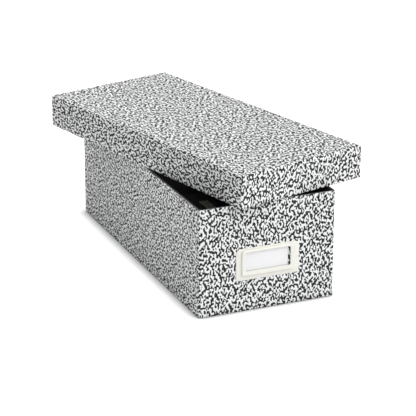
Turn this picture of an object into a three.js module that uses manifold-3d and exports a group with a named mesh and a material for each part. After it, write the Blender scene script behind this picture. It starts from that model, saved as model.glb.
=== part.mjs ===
// A file box for 5 x 3 inch index cards: a paper-covered board tray with a lift-off lid.
// The lid has been put back askew. It rests on the tray's rim, turned about the vertical.
// Millimetres, +Z up, the label on the -Y end, the origin under the middle of the tray.
import * as THREE from "three";
import { mergeVertices } from "three/addons/utils/BufferGeometryUtils.js";
import Module from "manifold-3d";

const wasm = await Module();
wasm.setup();

// The cards that the tray holds, standing across it.
const cardWidth = 127;
const cardSideClearance = 1;

// The tray, outside, and its board with the lining and the covering paper on it.
const trayLength = 296;
const trayHeight = 102;
const trayBoard = 2;
const trayCornerRadius = 1.8;
const trayFoldRadius = 1.2;

// The lid slides down over the tray with this much room on each side.
const lidHeight = 30.4;
const lidBoard = 2;
const lidSideClearance = 1;
const lidCornerRadius = 1.8;
const lidFoldRadius = 1.2;

// How the lid lies: turned anticlockwise seen from above, and moved from the tray's middle.
const lidTurnDegrees = 14;
const lidShiftAcross = -0.8;
const lidShiftAlong = 3;
const lidRestGap = 0.3;

// The label holder, pressed from thin sheet steel: a flange with a raised frame in it.
const holderCentreHeight = 45;
const flangeWidth = 61.6;
const flangeHeight = 30.2;
const flangeTopCornerRadius = 4.5;
const flangeBottomCornerRadius = 2.5;
const holderSheet = 0.5;
const frameWidth = 51.4;
const frameHeight = 24.4;
const frameRise = 1.4;
const frameCornerRadius = 2.6;
const frameShoulder = 0.9;
const frameAboveCentre = 1;
const windowWidth = 43.8;
const windowHeight = 17.8;
const windowCornerRadius = 1.4;
const windowAboveCentre = 2.3;

// Two prongs hold it: each goes back through a slit in the tray's end and is bent flat inside.
const prongWidth = 3;
const prongThickness = 0.6;
const prongHookLength = 5;
const prongFromFlangeEdge = 2.6;
const prongDentWidth = 1.2;
const prongDentDepth = 0.2;
const slitClearance = 0.3;

// The blank label card fills the frame's hollow in height. It is cut short, and pushed to the left.
const labelThickness = 0.4;
const labelClearance = 0.1;
const labelCutShort = 4.5;

// A small blank sticker on the tray's floor, near the back right corner.
const stickerWidth = 10;
const stickerLength = 26;
const stickerThickness = 0.2;
const stickerFromRightWall = 5.5;
const stickerFromBackWall = 24;
const stickerCornerRadius = 0.5;

// Sizes that follow from those above.
const trayInnerWidth = cardWidth + 2 * cardSideClearance;
const trayWidth = trayInnerWidth + 2 * trayBoard;
const trayInnerLength = trayLength - 2 * trayBoard;
const lidInnerWidth = trayWidth + 2 * lidSideClearance;
const lidInnerLength = trayLength + 2 * lidSideClearance;
const frontFace = -trayLength / 2;
const frontInside = frontFace + trayBoard;
const prongOffset = flangeWidth / 2 - prongFromFlangeEdge;
const hollowWidth = frameWidth - 2 * holderSheet;
const hollowHeight = frameHeight - 2 * holderSheet;
const hollowCornerRadius = frameCornerRadius - holderSheet;

// A square corner this far from both sides of the hollow just clears its rounded corner.
const labelInset = hollowCornerRadius * (1 - Math.SQRT1_2) + labelClearance;
const labelWidth = hollowWidth - 2 * labelInset - labelCutShort;
const labelHeight = hollowHeight - 2 * labelInset;

// Facets in a quarter turn of a corner, and in the rounding of an edge.
const cornerSteps = 5;
const edgeSteps = 4;

// Rectangle centred on the origin, with its own radius for the two upper corners.
function roundedRectangle(width, height, lowerRadius, upperRadius = lowerRadius) {
  const x = width / 2;
  const y = height / 2;
  const quarter = Math.PI / 2;
  const shape = new THREE.Shape();
  shape.absarc(x - lowerRadius, lowerRadius - y, lowerRadius, -quarter, 0);
  shape.absarc(x - upperRadius, y - upperRadius, upperRadius, 0, quarter);
  shape.absarc(upperRadius - x, y - upperRadius, upperRadius, quarter, 2 * quarter);
  shape.absarc(lowerRadius - x, lowerRadius - y, lowerRadius, 2 * quarter, 3 * quarter);
  return shape;
}

// A closed three.js geometry as a solid that can be joined and cut.
function solid(geometry) {
  const bare = geometry.clone();
  bare.deleteAttribute("normal");
  bare.deleteAttribute("uv");
  const merged = mergeVertices(bare, 1e-4);
  return new wasm.Manifold(
    new wasm.Mesh({
      numProp: 3,
      vertProperties: merged.attributes.position.array,
      triVerts: new Uint32Array(merged.index.array),
    }),
  );
}

// The outline extruded from z = low to z = high. The edges of both ends are rounded inwards by
// `round`, measured across the outline, and over `roundDepth` of the height.
function slab(shape, low, high, round = 0, roundDepth = round) {
  const geometry = new THREE.ExtrudeGeometry(shape, {
    depth: high - low - 2 * roundDepth,
    curveSegments: cornerSteps,
    bevelEnabled: round > 0,
    bevelSize: round,
    bevelOffset: -round,
    bevelThickness: roundDepth,
    bevelSegments: edgeSteps,
  });
  return geometry.translate(0, 0, low + roundDepth);
}

// Turns a slab drawn flat so that its +Z faces out of the tray's front end.
function onFront(geometry, across, height) {
  return geometry.rotateX(Math.PI / 2).translate(across, frontFace, height);
}

function box(width, length, height, x, y, z) {
  return new THREE.BoxGeometry(width, length, height).translate(x, y, z);
}

// A five-sided board shell, open at the top: the four walls are folded up from one blank, and the
// covering paper rounds the folds. The cut at z = height leaves a square rim.
function foldedShell({ width, length, height, board, cornerRadius, foldRadius }) {
  const above = height + 2 * foldRadius;
  const outline = roundedRectangle(width, length, cornerRadius);
  const innerRadius = Math.max(cornerRadius - board, board / 4);
  const inside = roundedRectangle(width - 2 * board, length - 2 * board, innerRadius);
  const outer = solid(slab(outline, 0, above, foldRadius));
  const aboveRim = solid(box(2 * width, 2 * length, above, 0, 0, height + above / 2));
  return outer.subtract(aboveRim).subtract(solid(slab(inside, board, 2 * above)));
}

function makeTray() {
  const shell = foldedShell({
    width: trayWidth,
    length: trayLength,
    height: trayHeight,
    board: trayBoard,
    cornerRadius: trayCornerRadius,
    foldRadius: trayFoldRadius,
  });
  const slitWidth = prongThickness + 2 * slitClearance;
  const slitHeight = prongWidth + 2 * slitClearance;
  return [-prongOffset, prongOffset].reduce(
    (cut, x) =>
      cut.subtract(
        solid(box(slitWidth, 3 * trayBoard, slitHeight, x, frontFace, holderCentreHeight)),
      ),
    shell,
  );
}

// The same kind of shell as the tray, upside down over it.
function makeLid() {
  return foldedShell({
    width: lidInnerWidth + 2 * lidBoard,
    length: lidInnerLength + 2 * lidBoard,
    height: lidHeight,
    board: lidBoard,
    cornerRadius: lidCornerRadius,
    foldRadius: lidFoldRadius,
  });
}

// The flange lies on the covering paper. The raised frame is hollow behind, open to its window.
function makeLabelHolder() {
  const frameHeightAt = holderCentreHeight + frameAboveCentre;
  const windowHeightAt = holderCentreHeight + windowAboveCentre;
  const faceAt = holderSheet + frameRise;
  const flange = slab(
    roundedRectangle(flangeWidth, flangeHeight, flangeBottomCornerRadius, flangeTopCornerRadius),
    0,
    holderSheet,
    holderSheet / 4,
  );
  const raised = slab(
    roundedRectangle(frameWidth, frameHeight, frameCornerRadius),
    -faceAt,
    faceAt,
    frameShoulder,
    frameRise,
  );
  const hollow = slab(
    roundedRectangle(hollowWidth, hollowHeight, hollowCornerRadius),
    -frameRise,
    frameRise,
    frameShoulder,
    frameRise / 2,
  );
  const opening = slab(
    roundedRectangle(windowWidth, windowHeight, windowCornerRadius),
    -faceAt,
    2 * faceAt,
  );
  const behind = box(
    2 * flangeWidth,
    2 * faceAt,
    2 * flangeHeight,
    0,
    frontFace + faceAt,
    holderCentreHeight,
  );
  const pressed = solid(onFront(flange, 0, holderCentreHeight))
    .add(solid(onFront(raised, 0, frameHeightAt)))
    .subtract(solid(onFront(hollow, 0, frameHeightAt)))
    .subtract(solid(onFront(opening, 0, windowHeightAt)))
    .subtract(solid(behind));
  return [-1, 1].reduce(
    (joined, side) => joined.add(makeProng(side)).subtract(makeProngDent(side)),
    pressed,
  );
}

// One prong: a leg from the flange back through its slit, and a hook bent outwards inside.
function makeProng(side) {
  const hookGap = slitClearance;
  const hookBack = frontInside + hookGap + prongThickness;
  const legFrom = frontFace - holderSheet / 2;
  const leg = box(
    prongThickness,
    hookBack - legFrom,
    prongWidth,
    side * prongOffset,
    (hookBack + legFrom) / 2,
    holderCentreHeight,
  );
  const hook = box(
    prongHookLength,
    prongThickness,
    prongWidth,
    side * (prongOffset + (prongHookLength - prongThickness) / 2),
    hookBack - prongThickness / 2,
    holderCentreHeight,
  );
  return solid(leg).add(solid(hook));
}

// The shallow dent that bending the prong leaves in the flange's face.
function makeProngDent(side) {
  const dent = slab(
    roundedRectangle(prongDentWidth, prongWidth, prongDentWidth / 3),
    holderSheet - prongDentDepth,
    2 * holderSheet,
  );
  return solid(onFront(dent, side * prongOffset, holderCentreHeight));
}

// The card stands in the frame's hollow, flat against the tray's covering paper.
function makeLabelCard() {
  const card = new THREE.BoxGeometry(labelWidth, labelHeight, labelThickness);
  card.translate(0, 0, labelThickness / 2);
  return solid(onFront(card, -labelCutShort / 2, holderCentreHeight + frameAboveCentre));
}

function makeFloorSticker() {
  const sticker = slab(
    roundedRectangle(stickerWidth, stickerLength, stickerCornerRadius),
    trayBoard,
    trayBoard + stickerThickness,
  );
  return solid(
    sticker.translate(
      trayInnerWidth / 2 - stickerFromRightWall - stickerWidth / 2,
      trayInnerLength / 2 - stickerFromBackWall - stickerLength / 2,
      0,
    ),
  );
}

function named(name, shape, color, roughness, metalness = 0) {
  const data = shape.getMesh();
  const geometry = new THREE.BufferGeometry();
  geometry.setAttribute("position", new THREE.BufferAttribute(data.vertProperties, 3));
  geometry.setIndex(new THREE.BufferAttribute(data.triVerts, 1));
  geometry.computeVertexNormals();
  const material = new THREE.MeshStandardMaterial({ color, roughness, metalness });
  const mesh = new THREE.Mesh(geometry, material);
  mesh.name = name;
  return mesh;
}

const tray = named("tray", makeTray(), "#8f918e", 0.6);
const labelHolder = named("label_holder", makeLabelHolder(), "#e8e8de", 0.4, 0.1);
const labelCard = named("label_card", makeLabelCard(), "#f4f4f4", 0.8);
const floorSticker = named("floor_sticker", makeFloorSticker(), "#6f6b60", 0.8);

// The lid is made upright as a tray, then turned over, and lies askew on the rim.
const lid = named("lid", makeLid(), "#9c9e9b", 0.5);
lid.rotation.y = Math.PI;
lid.position.z = lidHeight;
const askew = new THREE.Group();
askew.add(lid);
askew.rotation.z = THREE.MathUtils.degToRad(lidTurnDegrees);
askew.position.set(lidShiftAcross, lidShiftAlong, trayHeight + lidRestGap);

const fileBox = new THREE.Group();
fileBox.add(tray, labelHolder, labelCard, floorSticker, askew);

export default fileBox;
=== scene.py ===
"""The looks of a file box for index cards: a tray and a lift-off lid of paper-covered board, and a
pressed metal label holder with its blank card. Metres, in the frame of the solids."""
import math

import bmesh
import bpy
from mathutils import Matrix, Vector


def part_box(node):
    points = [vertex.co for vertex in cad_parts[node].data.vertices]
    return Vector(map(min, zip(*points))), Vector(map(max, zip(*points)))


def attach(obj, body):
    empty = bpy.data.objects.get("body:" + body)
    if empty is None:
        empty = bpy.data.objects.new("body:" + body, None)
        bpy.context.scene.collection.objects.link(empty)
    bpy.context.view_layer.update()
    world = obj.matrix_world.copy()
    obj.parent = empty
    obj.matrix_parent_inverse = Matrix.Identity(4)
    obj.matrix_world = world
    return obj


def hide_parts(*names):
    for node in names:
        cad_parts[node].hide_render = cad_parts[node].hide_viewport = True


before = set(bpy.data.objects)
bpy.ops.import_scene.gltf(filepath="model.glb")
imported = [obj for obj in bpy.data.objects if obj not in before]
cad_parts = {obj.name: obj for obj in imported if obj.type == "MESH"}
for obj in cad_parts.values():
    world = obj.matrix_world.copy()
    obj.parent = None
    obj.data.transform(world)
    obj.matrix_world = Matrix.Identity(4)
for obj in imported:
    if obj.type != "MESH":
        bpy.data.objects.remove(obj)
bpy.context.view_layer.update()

# The camera stands in front of the label end, a little to the left and above, with a long lens.
# The angles and the distance fit the box's corners in a square picture 416 pixels wide.
camera_azimuth = math.radians(-23.52)
camera_elevation = math.radians(20.46)
camera_roll = math.radians(0.137)
camera_distance = 1.680
camera_aim = Vector((0.0047, -0.0045, 0.0450))
picture_width = 416
focal_length_in_pixels = 1750
sensor_width = 36.0

towards_camera = Vector((
    math.sin(camera_azimuth) * math.cos(camera_elevation),
    -math.cos(camera_azimuth) * math.cos(camera_elevation),
    math.sin(camera_elevation),
))
camera_data = bpy.data.cameras.new("camera")
camera_data.sensor_width = sensor_width
camera_data.lens = sensor_width * focal_length_in_pixels / picture_width
camera_data.clip_start = 0.05
camera_data.clip_end = 100
camera = bpy.data.objects.new("camera", camera_data)
camera_turn = towards_camera.to_track_quat("Z", "Y").to_matrix() @ Matrix.Rotation(camera_roll, 3, "Z")
camera.matrix_world = Matrix.LocRotScale(camera_aim + camera_distance * towards_camera, camera_turn, None)
bpy.context.scene.collection.objects.link(camera)
bpy.context.scene.camera = camera
bpy.context.scene.view_settings.view_transform = "Standard"


# The floor is a plain pale sheet, with a white world over it. Only the camera and reflections see
# them at full white: the object is lit by a dimmer world and two soft lamps, so it keeps its own colours.
# Close round the object the floor's colour carries a painted contact shadow.
floor_half_size = 8.0
floor_colour = (0.86, 0.86, 0.86, 1)
floor_lift = 0.74
painted_shadow_reach = 0.010
painted_shadow_depth = 1.35
world_light = 0.56
key_strength = 1.95
key_direction = Vector((-0.47, 0.44, -0.765))
fill_strength = 0.30
fill_direction = Vector((0.20, -0.60, -0.77))
lamp_softness = math.radians(50)


def add_node(tree, kind, inputs=(), **settings):
    """A new node in a tree, with its plain settings and its sockets' values or links."""
    node = tree.nodes.new(kind)
    for name, value in settings.items():
        setattr(node, name, value)
    for name, value in dict(inputs).items():
        socket = node.inputs[name]
        if isinstance(value, bpy.types.NodeSocket):
            tree.links.new(value, socket)
        else:
            socket.default_value = value
    return node


def calculate(tree, operation, first, second=0.0, third=0.0):
    """What a math node makes of up to three values."""
    return add_node(tree, "ShaderNodeMath", {0: first, 1: second, 2: third}, operation=operation).outputs[0]


def mix_colours(tree, share, first, second):
    """A colour between two. When a mix node mixes colours, they are its sockets 6 and 7."""
    mix = add_node(tree, "ShaderNodeMix", {"Factor": share, 6: first, 7: second}, data_type="RGBA")
    return mix.outputs[2]


def new_material(name):
    """An empty material: its tree and its Principled shader, wired to the output."""
    material = bpy.data.materials.new(name)
    material.use_nodes = True
    tree = material.node_tree
    return material, tree, tree.nodes["Principled BSDF"]


def seen_directly(tree):
    """1 for rays that show the background: the camera's, reflected and transmitted ones."""
    path = add_node(tree, "ShaderNodeLightPath").outputs
    reflected = calculate(tree, "MAXIMUM", path["Is Camera Ray"], path["Is Glossy Ray"])
    return calculate(tree, "MAXIMUM", reflected, path["Is Transmission Ray"])


world = bpy.data.worlds.new("white_studio")
world.use_nodes = True
bpy.context.scene.world = world
world_tree = world.node_tree
world_strength = add_node(
    world_tree, "ShaderNodeMapRange",
    {"Value": seen_directly(world_tree), "To Min": world_light, "To Max": 1.0},
)
world_background = world_tree.nodes["Background"]
world_background.inputs["Color"].default_value = (1, 1, 1, 1)
world_tree.links.new(world_strength.outputs[0], world_background.inputs["Strength"])

for lamp_name, strength, direction in (
    ("key", key_strength, key_direction),
    ("fill", fill_strength, fill_direction),
):
    lamp_data = bpy.data.lights.new(lamp_name, "SUN")
    lamp_data.energy = strength
    lamp_data.angle = lamp_softness
    lamp = bpy.data.objects.new(lamp_name, lamp_data)
    lamp.matrix_world = direction.to_track_quat("-Z", "Y").to_matrix().to_4x4()
    bpy.context.scene.collection.objects.link(lamp)

floor_mesh = bpy.data.meshes.new("floor")
floor_corners = [
    (x * floor_half_size, y * floor_half_size, 0) for x, y in ((-1, -1), (1, -1), (1, 1), (-1, 1))
]
floor_mesh.from_pydata(floor_corners, [], [(0, 1, 2, 3)])
floor = bpy.data.objects.new("floor", floor_mesh)
bpy.context.scene.collection.objects.link(floor)
floor_material, floor_tree, floor_shader = new_material("pale_floor")
floor_shader.inputs["Roughness"].default_value = 1.0
floor_shader.inputs["Specular IOR Level"].default_value = 0.0
# Painted contact shadow: the floor's colour and glow go darker near the object, where the occlusion node
# finds little open sky.
contact = add_node(floor_tree, "ShaderNodeAmbientOcclusion", {"Distance": painted_shadow_reach})
painted_contact_shadow = calculate(floor_tree, "POWER", contact.outputs["AO"], painted_shadow_depth)
floor_colour_with_painted_shadow = mix_colours(floor_tree, painted_contact_shadow, (0, 0, 0, 1), floor_colour)
floor_glow = calculate(floor_tree, "MULTIPLY", seen_directly(floor_tree), floor_lift)
floor_tree.links.new(floor_colour_with_painted_shadow, floor_shader.inputs["Base Color"])
floor_tree.links.new(floor_colour_with_painted_shadow, floor_shader.inputs["Emission Color"])
floor_tree.links.new(floor_glow, floor_shader.inputs["Emission Strength"])
floor_mesh.materials.append(floor_material)


# The papers: smooth white covering paper, printed all over with a black agate pattern of short wavy
# strokes about three millimetres apart, and dull black lining paper. Both are glued to the board.
paper_white = (0.875, 0.885, 0.885, 1)
ink_black = (0.007, 0.0075, 0.008, 1)
ink_grey = (0.030, 0.032, 0.033, 1)
stroke_size = 0.0020
stroke_stretch = 1.45
stroke_lean = math.radians(35)
bend_scale = 300.0
bend_reach = 0.0012
ink_level = 0.502
ink_edge_softness = 0.02
grey_starts = 0.03
grey_full = 0.18
covering_roughness = 0.55
covering_gloss = 0.12
covering_tooth = 0.15
lining_dark = (0.056, 0.056, 0.060, 1)
lining_pale = (0.074, 0.074, 0.079, 1)
lining_roughness = 0.75
lining_gloss = 0.15
lining_tooth = 0.2
fibre_size = 0.0004
cockle_size = 0.03
cockle_share = 0.5
tooth_depth = 0.0003


def new_group(name, tree_kind, sockets):
    """A node group with these (name, socket kind, in or out, value) sockets."""
    group = bpy.data.node_groups.new(name, tree_kind)
    for socket_name, kind, way, value in sockets:
        socket = group.interface.new_socket(socket_name, in_out=way, socket_type=kind)
        if value is not None:
            socket.default_value = value
    start = group.nodes.new("NodeGroupInput")
    end = group.nodes.new("NodeGroupOutput")
    return group, start.outputs, end.inputs


def make_paper_tooth():
    """The fine uneven surface that all the papers share: fibres, and a slow cockle from the glue.

    When a mix node mixes plain values, they are its sockets 2 and 3."""
    group, given, result = new_group("paper_tooth", "ShaderNodeTree", (
        ("Vector", "NodeSocketVector", "INPUT", None),
        ("Fibre Size", "NodeSocketFloat", "INPUT", fibre_size),
        ("Cockle Size", "NodeSocketFloat", "INPUT", cockle_size),
        ("Cockle Share", "NodeSocketFloat", "INPUT", cockle_share),
        ("Height", "NodeSocketFloat", "OUTPUT", None),
    ))
    heights = []
    for size_name in ("Fibre Size", "Cockle Size"):
        scale = calculate(group, "DIVIDE", 1.0, given[size_name])
        noise = add_node(
            group, "ShaderNodeTexNoise",
            {"Vector": given["Vector"], "Scale": scale, "Detail": 3.0, "Roughness": 0.6},
        )
        heights.append(noise.outputs["Fac"])
    blend = add_node(
        group, "ShaderNodeMix", {"Factor": given["Cockle Share"], 2: heights[0], 3: heights[1]},
    )
    group.links.new(blend.outputs[0], result["Height"])
    return group


def make_agate_print():
    """The print on the flat sheet: a mask of ink, and how grey the ink lies inside each stroke."""
    group, given, result = new_group("agate_print", "ShaderNodeTree", (
        ("Vector", "NodeSocketVector", "INPUT", None),
        ("Stroke Size", "NodeSocketFloat", "INPUT", stroke_size),
        ("Stretch", "NodeSocketFloat", "INPUT", stroke_stretch),
        ("Lean", "NodeSocketFloat", "INPUT", stroke_lean),
        ("Ink Level", "NodeSocketFloat", "INPUT", ink_level),
        ("Edge Softness", "NodeSocketFloat", "INPUT", ink_edge_softness),
        ("Ink", "NodeSocketFloat", "OUTPUT", None),
        ("Grey", "NodeSocketFloat", "OUTPUT", None),
    ))
    squeeze = add_node(
        group, "ShaderNodeCombineXYZ",
        {"X": 1.0, "Y": calculate(group, "DIVIDE", 1.0, given["Stretch"]), "Z": 1.0},
    )
    squeezed = add_node(
        group, "ShaderNodeVectorMath", {0: given["Vector"], 1: squeeze.outputs[0]}, operation="MULTIPLY",
    )
    leaning = add_node(
        group, "ShaderNodeVectorRotate", {"Vector": squeezed.outputs[0], "Angle": given["Lean"]},
        rotation_type="Z_AXIS",
    )
    waves = add_node(
        group, "ShaderNodeTexNoise",
        {"Vector": leaning.outputs[0], "Scale": bend_scale, "Detail": 0.0}, noise_dimensions="2D",
    )
    push = add_node(
        group, "ShaderNodeVectorMath", {0: waves.outputs["Color"], 1: (0.5, 0.5, 0.5)},
        operation="SUBTRACT",
    )
    bent = add_node(
        group, "ShaderNodeVectorMath",
        {0: push.outputs[0], 1: (bend_reach, bend_reach, bend_reach), 2: leaning.outputs[0]},
        operation="MULTIPLY_ADD",
    )
    strokes = add_node(
        group, "ShaderNodeTexNoise",
        {
            "Vector": bent.outputs[0],
            "Scale": calculate(group, "DIVIDE", 1.0, given["Stroke Size"]),
            "Detail": 1.0,
            "Roughness": 0.3,
        },
        noise_dimensions="2D",
    )
    inside = calculate(group, "SUBTRACT", strokes.outputs["Fac"], given["Ink Level"])
    ink = add_node(
        group, "ShaderNodeMapRange",
        {
            "Value": inside,
            "From Min": calculate(group, "MULTIPLY", given["Edge Softness"], -1.0),
            "From Max": given["Edge Softness"],
        },
    )
    grey = add_node(
        group, "ShaderNodeMapRange", {"Value": inside, "From Min": grey_starts, "From Max": grey_full},
    )
    group.links.new(ink.outputs[0], result["Ink"])
    group.links.new(grey.outputs[0], result["Grey"])
    return group


paper_tooth = make_paper_tooth()
agate_print = make_agate_print()


def add_tooth(tree):
    """The height of the paper's tooth all over a piece."""
    place = add_node(tree, "ShaderNodeTexCoord").outputs["Object"]
    return add_node(tree, "ShaderNodeGroup", {"Vector": place}, node_tree=paper_tooth).outputs["Height"]


def add_bump(tree, shader, height, strength, depth):
    bump = add_node(tree, "ShaderNodeBump", {"Height": height, "Strength": strength, "Distance": depth})
    tree.links.new(bump.outputs[0], shader.inputs["Normal"])


def make_covering_paper():
    """The agate print, laid by where each spot of a piece was on the flat sheet."""
    material, tree, shader = new_material("agate_covering_paper")
    on_sheet = add_node(tree, "ShaderNodeAttribute", attribute_type="GEOMETRY", attribute_name="sheet")
    pattern = add_node(
        tree, "ShaderNodeGroup", {"Vector": on_sheet.outputs["Vector"]}, node_tree=agate_print,
    )
    ink = mix_colours(tree, pattern.outputs["Grey"], ink_black, ink_grey)
    colour = mix_colours(tree, pattern.outputs["Ink"], paper_white, ink)
    tree.links.new(colour, shader.inputs["Base Color"])
    shader.inputs["Roughness"].default_value = covering_roughness
    shader.inputs["Specular IOR Level"].default_value = covering_gloss
    add_bump(tree, shader, add_tooth(tree), covering_tooth, tooth_depth)
    return material


def make_plain_paper(name, dark, pale, roughness):
    """Paper of one colour, darker in the dips of its tooth. The tooth's height comes back with it."""
    material, tree, shader = new_material(name)
    height = add_tooth(tree)
    tree.links.new(mix_colours(tree, height, dark, pale), shader.inputs["Base Color"])
    shader.inputs["Roughness"].default_value = roughness
    return material, tree, shader, height


def make_lining_paper():
    material, tree, shader, height = make_plain_paper(
        "black_lining_paper", lining_dark, lining_pale, lining_roughness,
    )
    shader.inputs["Specular IOR Level"].default_value = lining_gloss
    add_bump(tree, shader, height, lining_tooth, tooth_depth)
    return material


covering_paper = make_covering_paper()
lining_paper = make_lining_paper()


# The tray: one board blank folded up on four sides, covered outside, and lined in black up to the
# rim and over its flat. The long walls lean out a little at the rim, halfway along, as such walls do.
board_thickness = 0.002
corner_radius = 0.0018
fold_share = 0.67
fold_segments = 5
rim_rounding = 0.0004
rim_segments = 3
rim_angle = math.radians(50)
hollow_depth = 0.55 * board_thickness
rim_outer_depth = 0.3 * board_thickness
rim_flatness = 0.9
panel_cell = 0.008
fold_angle = math.radians(60)
level_slack = 0.0001
wall_focus = 8.0
tray_bow = 0.0004
tray_sheet_start = 0.3
slit_height = 0.045
slit_offset = 0.0282
slit_size = (0.0012, 3 * board_thickness, 0.0036)


def make_folded_shell_tree():
    """Five panels of a blank, folded up: a cube without its top, its long walls bowed at the rim."""
    group, given, result = new_group("folded_shell", "GeometryNodeTree", (
        ("Width", "NodeSocketFloat", "INPUT", None),
        ("Length", "NodeSocketFloat", "INPUT", None),
        ("Height", "NodeSocketFloat", "INPUT", None),
        ("Cell", "NodeSocketFloat", "INPUT", None),
        ("Bow", "NodeSocketFloat", "INPUT", None),
        ("Paper", "NodeSocketMaterial", "INPUT", None),
        ("Geometry", "NodeSocketGeometry", "OUTPUT", None),
    ))
    size = add_node(
        group, "ShaderNodeCombineXYZ", {"X": given["Width"], "Y": given["Length"], "Z": given["Height"]},
    )
    counts = []
    for side in ("Width", "Length", "Height"):
        cells = calculate(group, "ROUND", calculate(group, "DIVIDE", given[side], given["Cell"]))
        counts.append(calculate(group, "ADD", cells, 1.0))
    block = add_node(
        group, "GeometryNodeMeshCube",
        {"Size": size.outputs[0], "Vertices X": counts[0], "Vertices Y": counts[1], "Vertices Z": counts[2]},
    )
    normal = add_node(
        group, "ShaderNodeSeparateXYZ", {0: add_node(group, "GeometryNodeInputNormal").outputs[0]},
    )
    on_top = add_node(
        group, "FunctionNodeCompare", {0: normal.outputs["Z"], 1: 0.5}, operation="GREATER_THAN",
    )
    open_top = add_node(
        group, "GeometryNodeDeleteGeometry",
        {"Geometry": block.outputs["Mesh"], "Selection": on_top.outputs[0]}, domain="FACE",
    )
    angle = add_node(group, "GeometryNodeInputMeshEdgeAngle")
    folds = add_node(
        group, "FunctionNodeCompare",
        {0: angle.outputs["Unsigned Angle"], 1: fold_angle}, operation="GREATER_THAN",
    )
    ends = add_node(group, "GeometryNodeInputMeshEdgeVertices")
    heights = [
        add_node(group, "ShaderNodeSeparateXYZ", {0: ends.outputs[end]}).outputs["Z"]
        for end in ("Position 1", "Position 2")
    ]
    rise = calculate(group, "ABSOLUTE", calculate(group, "SUBTRACT", *heights))
    upright = calculate(group, "GREATER_THAN", rise, level_slack)
    roundness = calculate(group, "MULTIPLY_ADD", upright, 1 - fold_share, fold_share)
    marked = add_node(
        group, "GeometryNodeStoreNamedAttribute",
        {
            "Geometry": open_top.outputs[0],
            "Name": "bevel_weight_edge",
            "Value": calculate(group, "MULTIPLY", folds.outputs[0], roundness),
        },
        data_type="FLOAT", domain="EDGE",
    )
    at = add_node(
        group, "ShaderNodeSeparateXYZ", {0: add_node(group, "GeometryNodeInputPosition").outputs[0]},
    )
    along = calculate(group, "DIVIDE", at.outputs["Y"], calculate(group, "MULTIPLY", given["Length"], 0.5))
    across = calculate(group, "DIVIDE", at.outputs["X"], calculate(group, "MULTIPLY", given["Width"], 0.5))
    up = calculate(group, "ADD", calculate(group, "DIVIDE", at.outputs["Z"], given["Height"]), 0.5)
    from_middle = calculate(group, "POWER", calculate(group, "ABSOLUTE", along), 2.0)
    middle = calculate(group, "SUBTRACT", 1.0, from_middle)
    on_wall = calculate(group, "POWER", calculate(group, "ABSOLUTE", across), wall_focus)
    near_rim = calculate(group, "POWER", up, 2.0)
    lean = calculate(group, "MULTIPLY", calculate(group, "MULTIPLY", middle, on_wall), near_rim)
    bowed_by = calculate(group, "MULTIPLY", lean, given["Bow"])
    outwards = calculate(group, "MULTIPLY", bowed_by, calculate(group, "SIGN", across))
    bottom_at_zero = calculate(group, "MULTIPLY", given["Height"], 0.5)
    offset = add_node(group, "ShaderNodeCombineXYZ", {"X": outwards, "Z": bottom_at_zero})
    bowed = add_node(
        group, "GeometryNodeSetPosition", {"Geometry": marked.outputs[0], "Offset": offset.outputs[0]},
    )
    real = add_node(group, "GeometryNodeRealizeInstances", {0: bowed.outputs[0]})
    smooth = add_node(group, "GeometryNodeSetShadeSmooth", {"Geometry": real.outputs[0]})
    papered = add_node(
        group, "GeometryNodeSetMaterial", {"Geometry": smooth.outputs[0], "Material": given["Paper"]},
    )
    group.links.new(papered.outputs[0], result["Geometry"])
    return group


folded_shell_tree = make_folded_shell_tree()


def add_object(name, mesh):
    thing = bpy.data.objects.new(name, mesh)
    bpy.context.scene.collection.objects.link(thing)
    return thing


def finish_mesh(rough, name, tools=()):
    """The rough object with its modifiers' result as a plain mesh piece. The rough one and tools go."""
    bpy.context.view_layer.update()
    evaluated = rough.evaluated_get(bpy.context.evaluated_depsgraph_get())
    mesh = bpy.data.meshes.new_from_object(evaluated)
    mesh.name = name
    for used in (rough, *tools):
        used_mesh = used.data
        bpy.data.objects.remove(used)
        bpy.data.meshes.remove(used_mesh)
    return add_object(name, mesh)


def add_boolean(rough, operation, tool):
    step = rough.modifiers.new(operation.lower(), "BOOLEAN")
    step.operation = operation
    step.object = tool
    step.solver = "EXACT"


def line_inside(mesh, width, length, height):
    """The black lining goes on every face in the shell's hollow, and over the flat of its rim."""
    mesh.materials[0] = lining_paper
    for face in mesh.polygons:
        middle = face.center
        depth = min(width / 2 - abs(middle.x), length / 2 - abs(middle.y), middle.z)
        if middle.z < height - rim_rounding:
            lined = depth > hollow_depth
        else:
            lined = face.normal.z > rim_flatness or depth > rim_outer_depth
        if lined:
            face.material_index = 0


def lay_covering(mesh, width, length, start):
    """Where each corner of each face lay on the flat sheet, before it was folded up round the shell.

    The start is how far across the printed roll the sheet was cut."""
    saved_by_rounding = (2 - math.pi / 2) * fold_share * corner_radius
    sheet = mesh.attributes.new("sheet", "FLOAT_VECTOR", "CORNER")
    for face in mesh.polygons:
        faces_x, faces_y, faces_z = (abs(part) for part in face.normal)
        for corner in face.loop_indices:
            across, along, up = mesh.vertices[mesh.loops[corner].vertex_index].co
            beyond = up - saved_by_rounding
            if faces_z < max(faces_x, faces_y):
                if faces_x > faces_y:
                    across = math.copysign(width / 2 + beyond, across)
                else:
                    along = math.copysign(length / 2 + beyond, along)
            sheet.data[corner].vector = (start + across, along, 0)


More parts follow.
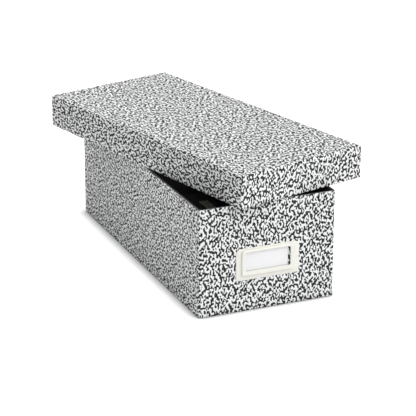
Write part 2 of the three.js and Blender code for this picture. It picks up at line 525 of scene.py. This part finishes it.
def make_folded_shell(name, width, length, height, bow, sheet_start, place, cutter=None):
    """A shell folded from board: the tree's five panels, given the board's thickness and round folds."""
    rough = add_object(name + "_rough", bpy.data.meshes.new(name + "_rough"))
    panels = rough.modifiers.new("panels", "NODES")
    panels.node_group = folded_shell_tree
    sizes = {
        "Width": width, "Length": length, "Height": height, "Cell": panel_cell, "Bow": bow,
        "Paper": covering_paper,
    }
    for item in folded_shell_tree.interface.items_tree:
        if item.item_type == "SOCKET" and item.in_out == "INPUT":
            panels[item.identifier] = sizes[item.name]
    board = rough.modifiers.new("board", "SOLIDIFY")
    board.thickness = board_thickness
    board.offset = -1
    board.use_even_offset = True
    folds = rough.modifiers.new("folds", "BEVEL")
    folds.limit_method = "WEIGHT"
    folds.width = corner_radius
    folds.segments = fold_segments
    rim = rough.modifiers.new("rim", "BEVEL")
    rim.limit_method = "ANGLE"
    rim.angle_limit = rim_angle
    rim.width = rim_rounding
    rim.segments = rim_segments
    if cutter is not None:
        add_boolean(rough, "DIFFERENCE", cutter)
    normals = rough.modifiers.new("normals", "WEIGHTED_NORMAL")
    normals.keep_sharp = True
    shell = finish_mesh(rough, name, [cutter] if cutter is not None else [])
    lay_covering(shell.data, width, length, sheet_start)
    line_inside(shell.data, width, length, height)
    shell.data.transform(place)
    return shell


def make_blocks(name, size, centres):
    """Plain blocks of one size, as one mesh: what a slit or a notch takes away."""
    blocks = bmesh.new()
    for centre in centres:
        place = Matrix.Translation(centre) @ Matrix.Diagonal((*size, 1))
        bmesh.ops.create_cube(blocks, size=1, matrix=place)
    mesh = bpy.data.meshes.new(name)
    blocks.to_mesh(mesh)
    blocks.free()
    return add_object(name, mesh)


def put_on_frame(piece, node):
    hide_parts(node)
    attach(piece, "root")


tray_low, tray_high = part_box("tray")
tray_size = tray_high - tray_low
front_face = tray_low.y
slit_centres = [(across, front_face, slit_height) for across in (-slit_offset, slit_offset)]
tray = make_folded_shell(
    "covered_tray", tray_size.x, tray_size.y, tray_size.z, tray_bow, tray_sheet_start,
    Matrix.Translation((0, 0, tray_low.z)), make_blocks("slits", slit_size, slit_centres),
)
put_on_frame(tray, "tray")


# The lid: the same board and papers as the tray's, folded as a shallow shell. Nothing holds it: it
# lifts off by hand, and here it lies askew on the tray's rim.
lid_turn = math.radians(14)
lid_clearance = 0.001
lid_bow = 0.0008
lid_sheet_start = 0.9

lid_low, lid_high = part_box("lid")
lid_middle = (lid_low + lid_high) / 2
lid_place = (
    Matrix.Translation((lid_middle.x, lid_middle.y, lid_high.z))
    @ Matrix.Rotation(lid_turn, 4, "Z")
    @ Matrix.Rotation(math.pi, 4, "Y")
)
lid_oversize = 2 * (board_thickness + lid_clearance)
lid = make_folded_shell(
    "covered_lid", tray_size.x + lid_oversize, tray_size.y + lid_oversize, lid_high.z - lid_low.z,
    lid_bow, lid_sheet_start, lid_place,
)
put_on_frame(lid, "lid")


# The label holder: pressed from thin sheet steel and enamelled ivory. A raised frame with a window
# stands up from a flat flange. Two prongs go back through the tray's slits and are bent flat inside.
holder_height = slit_height
holder_sheet = 0.0005
flange_size = (0.0616, 0.0302)
flange_corners = (0.0025, 0.0045)
frame_size = (0.0514, 0.0244)
frame_corners = (0.0026, 0.0026)
frame_centre = holder_height + 0.001
frame_rise = 0.0014
frame_shoulder = 0.0009
frame_foot = 0.0004
window_size = (0.0438, 0.0178)
window_corners = (0.0014, 0.0014)
window_centre = holder_height + 0.0023
edge_rounding = 0.00014
edge_middle = 0.3
smallest_radius = 0.0001
quarter_turn = math.radians(90)
corner_steps = 8
bend_steps = 4
shoulder_steps = 8
hook_steps = 6
smooth_below = math.radians(40)
prong_width = 0.003
prong_thickness = 0.0006
prong_hook_length = 0.005
prong_bend = 0.0002
prong_stand_off = 0.0003
dent_size = (0.0006, 0.0002, 0.0015)
enamel_shade = (0.84, 0.83, 0.765, 1)
enamel_light = (0.88, 0.87, 0.815, 1)
# Painted shade in the enamel's creases and at the frame's foot: its dark colour, how far the occlusion
# looks, and where the shade starts and ends.
crease_painted_shade = (0.42, 0.41, 0.35, 1)
painted_shade_reach = 0.0016
painted_shade_below = 0.45
unshaded_above = 0.95
cloud_scale = 140.0
glossiest = 0.28
dullest = 0.40
peel_scale = 1100.0
peel_strength = 0.08
peel_depth = 0.0002


def outline_ring(size, corners, centre, grow, out):
    """Points round a rounded rectangle on the tray's front, grown by `grow` and `out` in front of it."""
    half_width = size[0] / 2 + grow
    half_height = size[1] / 2 + grow
    ring = []
    for turn, (side_x, side_z) in enumerate(((1, -1), (1, 1), (-1, 1), (-1, -1))):
        radius = max(corners[0 if side_z < 0 else 1] + grow, smallest_radius)
        for step in range(corner_steps + 1):
            angle = quarter_turn * (turn - 1 + step / corner_steps)
            ring.append((
                side_x * (half_width - radius) + radius * math.cos(angle),
                front_face - out,
                centre + side_z * (half_height - radius) + radius * math.sin(angle),
            ))
    return ring


def join_rings(mesh_data, rings):
    """Faces from each ring to the next, and from the last back to the first: a closed tube."""
    made = [[mesh_data.verts.new(point) for point in ring] for ring in rings]
    for ring, following in zip(made, made[1:] + made[:1]):
        count = len(ring)
        for i in range(count):
            mesh_data.faces.new((ring[i], ring[(i + 1) % count], following[(i + 1) % count], following[i]))


def pressed_profile():
    """The rings of the pressed sheet: over the flange, up the frame, into the window and back behind."""
    face = holder_sheet + frame_rise
    rings = []

    def flange(grow, out):
        rings.append(outline_ring(flange_size, flange_corners, holder_height, grow, out))

    def raised_frame(grow, out):
        rings.append(outline_ring(frame_size, frame_corners, frame_centre, grow, out))

    def window(grow, out):
        rings.append(outline_ring(window_size, window_corners, window_centre, grow, out))

    flange(0, 0)
    flange(0, holder_sheet - edge_rounding)
    flange(-edge_rounding * edge_middle, holder_sheet - edge_rounding * edge_middle)
    flange(-edge_rounding, holder_sheet)
    foot_angle = math.asin(frame_foot / frame_rise)
    foot_grow = -frame_shoulder * (1 - math.cos(foot_angle))
    for step in range(bend_steps + 1):
        angle = quarter_turn * step / bend_steps
        raised_frame(
            foot_grow + frame_foot * (1 - math.sin(angle)),
            holder_sheet + frame_foot * (1 - math.cos(angle)),
        )
    for step in range(1, shoulder_steps + 1):
        angle = foot_angle + (quarter_turn - foot_angle) * step / shoulder_steps
        raised_frame(-frame_shoulder * (1 - math.cos(angle)), holder_sheet + frame_rise * math.sin(angle))
    window(edge_rounding, face)
    window(edge_rounding * edge_middle, face - edge_rounding * edge_middle)
    window(0, face - edge_rounding)
    window(0, face - holder_sheet)
    for step in range(bend_steps + 1):
        angle = quarter_turn * (1 - step / bend_steps)
        raised_frame(
            -holder_sheet - frame_shoulder * (1 - math.cos(angle)),
            frame_rise / 2 * (1 + math.sin(angle)),
        )
    raised_frame(-holder_sheet, 0)
    return rings


def mesh_from(mesh_data, name):
    bmesh.ops.recalc_face_normals(mesh_data, faces=mesh_data.faces)
    mesh = bpy.data.meshes.new(name)
    mesh_data.to_mesh(mesh)
    mesh_data.free()
    return mesh


def make_prongs():
    """Both prongs: a leg through the slit and a hook bent outwards behind the board, as strips."""
    strips = bmesh.new()
    half = prong_thickness / 2
    leg_start = front_face - holder_sheet / 2
    hook_front = front_face + board_thickness + prong_stand_off
    hook_back = hook_front + prong_thickness
    hook_end = prong_hook_length - half
    bend_x = half + prong_bend
    bend_y = hook_front - prong_bend
    for side in (-1, 1):
        outline = [(half, leg_start)]
        for step in range(bend_steps + 1):
            angle = math.radians(180 - 90 * step / bend_steps)
            outline.append((bend_x + prong_bend * math.cos(angle), bend_y + prong_bend * math.sin(angle)))
        outline += [(hook_end, hook_front), (hook_end, hook_back)]
        for step in range(hook_steps + 1):
            angle = math.radians(90 + 90 * step / hook_steps)
            reach = prong_bend + prong_thickness
            outline.append((bend_x + reach * math.cos(angle), bend_y + reach * math.sin(angle)))
        outline.append((-half, leg_start))
        low = [
            strips.verts.new((side * (slit_offset + x), y, holder_height - prong_width / 2))
            for x, y in outline
        ]
        face = strips.faces.new(low)
        raised = bmesh.ops.extrude_face_region(strips, geom=[face])
        top = [item for item in raised["geom"] if isinstance(item, bmesh.types.BMVert)]
        bmesh.ops.translate(strips, verts=top, vec=(0, 0, prong_width))
    return add_object("prongs", mesh_from(strips, "prongs"))


def make_dents():
    """What bending the prongs pulls in: two shallow long dents in the flange's face."""
    dents = bmesh.new()
    for side in (-1, 1):
        centre = Matrix.Translation((side * slit_offset, front_face - holder_sheet, holder_height))
        bmesh.ops.create_uvsphere(
            dents, u_segments=24, v_segments=12, radius=1,
            matrix=centre @ Matrix.Diagonal((*dent_size, 1)),
        )
    return add_object("dents", mesh_from(dents, "dents"))


def make_enamel():
    material, tree, shader = new_material("ivory_enamel")
    place = add_node(tree, "ShaderNodeTexCoord").outputs["Object"]
    cloud = add_node(
        tree, "ShaderNodeTexNoise",
        {"Vector": place, "Scale": cloud_scale, "Detail": 3.0, "Roughness": 0.6},
    ).outputs["Fac"]
    # Painted shade: where the occlusion node finds little open sky, in creases and round the frame's foot,
    # the enamel's colour goes towards dark olive.
    crease = add_node(tree, "ShaderNodeAmbientOcclusion", {"Distance": painted_shade_reach})
    openness = add_node(
        tree, "ShaderNodeMapRange",
        {"Value": crease.outputs["AO"], "From Min": painted_shade_below, "From Max": unshaded_above},
    )
    enamel_tone = mix_colours(tree, cloud, enamel_shade, enamel_light)
    enamel_with_painted_shade = mix_colours(tree, openness.outputs[0], crease_painted_shade, enamel_tone)
    tree.links.new(enamel_with_painted_shade, shader.inputs["Base Color"])
    gloss = add_node(tree, "ShaderNodeMapRange", {"Value": cloud, "To Min": glossiest, "To Max": dullest})
    tree.links.new(gloss.outputs[0], shader.inputs["Roughness"])
    peel = add_node(tree, "ShaderNodeTexNoise", {"Vector": place, "Scale": peel_scale, "Detail": 2.0})
    add_bump(tree, shader, peel.outputs["Fac"], peel_strength, peel_depth)
    return material


pressed = bmesh.new()
join_rings(pressed, pressed_profile())
holder_rough = add_object("holder_rough", mesh_from(pressed, "holder_rough"))
holder_rough.data.materials.append(make_enamel())
holder_tools = [make_prongs(), make_dents()]
add_boolean(holder_rough, "UNION", holder_tools[0])
add_boolean(holder_rough, "DIFFERENCE", holder_tools[1])
label_holder = finish_mesh(holder_rough, "pressed_label_holder", holder_tools)
label_holder.data.shade_smooth()
label_holder.data.set_sharp_from_angle(angle=smooth_below)
put_on_frame(label_holder, "label_holder")


# The label card: a blank slip of white card, cut short and pushed to the left of the frame's hollow,
# so that the covering paper shows at the window's right end. It is a little bowed.
card_thickness = 0.0003
card_bow = 0.00025
card_stand_off = 0.00002
card_cells = (24, 12)
card_dark = (0.87, 0.87, 0.885, 1)
card_pale = (0.92, 0.92, 0.93, 1)
card_roughness = 0.7
card_tooth = 0.15
card_tooth_depth = 0.0002


def make_card_stock():
    material, tree, shader, height = make_plain_paper(
        "white_card_stock", card_dark, card_pale, card_roughness,
    )
    add_bump(tree, shader, height, card_tooth, card_tooth_depth)
    return material


card_low, card_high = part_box("label_card")
card_middle = (card_low + card_high) / 2
card_size = card_high - card_low
card_sheet = bmesh.new()
bmesh.ops.create_grid(card_sheet, x_segments=card_cells[0], y_segments=card_cells[1], size=0.5)
for point in card_sheet.verts:
    across, up = point.co.x, point.co.y
    forward = card_bow * (1 - (2 * across) ** 2)
    point.co = (
        card_middle.x + across * card_size.x,
        front_face - card_stand_off - forward,
        card_middle.z + up * card_size.z,
    )
card_rough = add_object("card_rough", bpy.data.meshes.new("card_rough"))
card_sheet.to_mesh(card_rough.data)
card_sheet.free()
card_rough.data.materials.append(make_card_stock())
card_stock = card_rough.modifiers.new("stock", "SOLIDIFY")
card_stock.thickness = card_thickness
card_stock.offset = 1
label_card = finish_mesh(card_rough, "blank_label_card")
put_on_frame(label_card, "label_card")


# The sticker: a small blank slip of thin brownish paper, glued down on the tray's floor towards its
# back end. Its solid is as plain as the real one, so it stays and only gets its paper.
sticker_dark = (0.46, 0.45, 0.38, 1)
sticker_pale = (0.54, 0.53, 0.46, 1)
sticker_roughness = 0.8

sticker_paper = make_plain_paper(
    "brown_sticker_paper", sticker_dark, sticker_pale, sticker_roughness,
)[0]
sticker = bpy.data.objects["floor_sticker"]
sticker.material_slots[0].material = sticker_paper
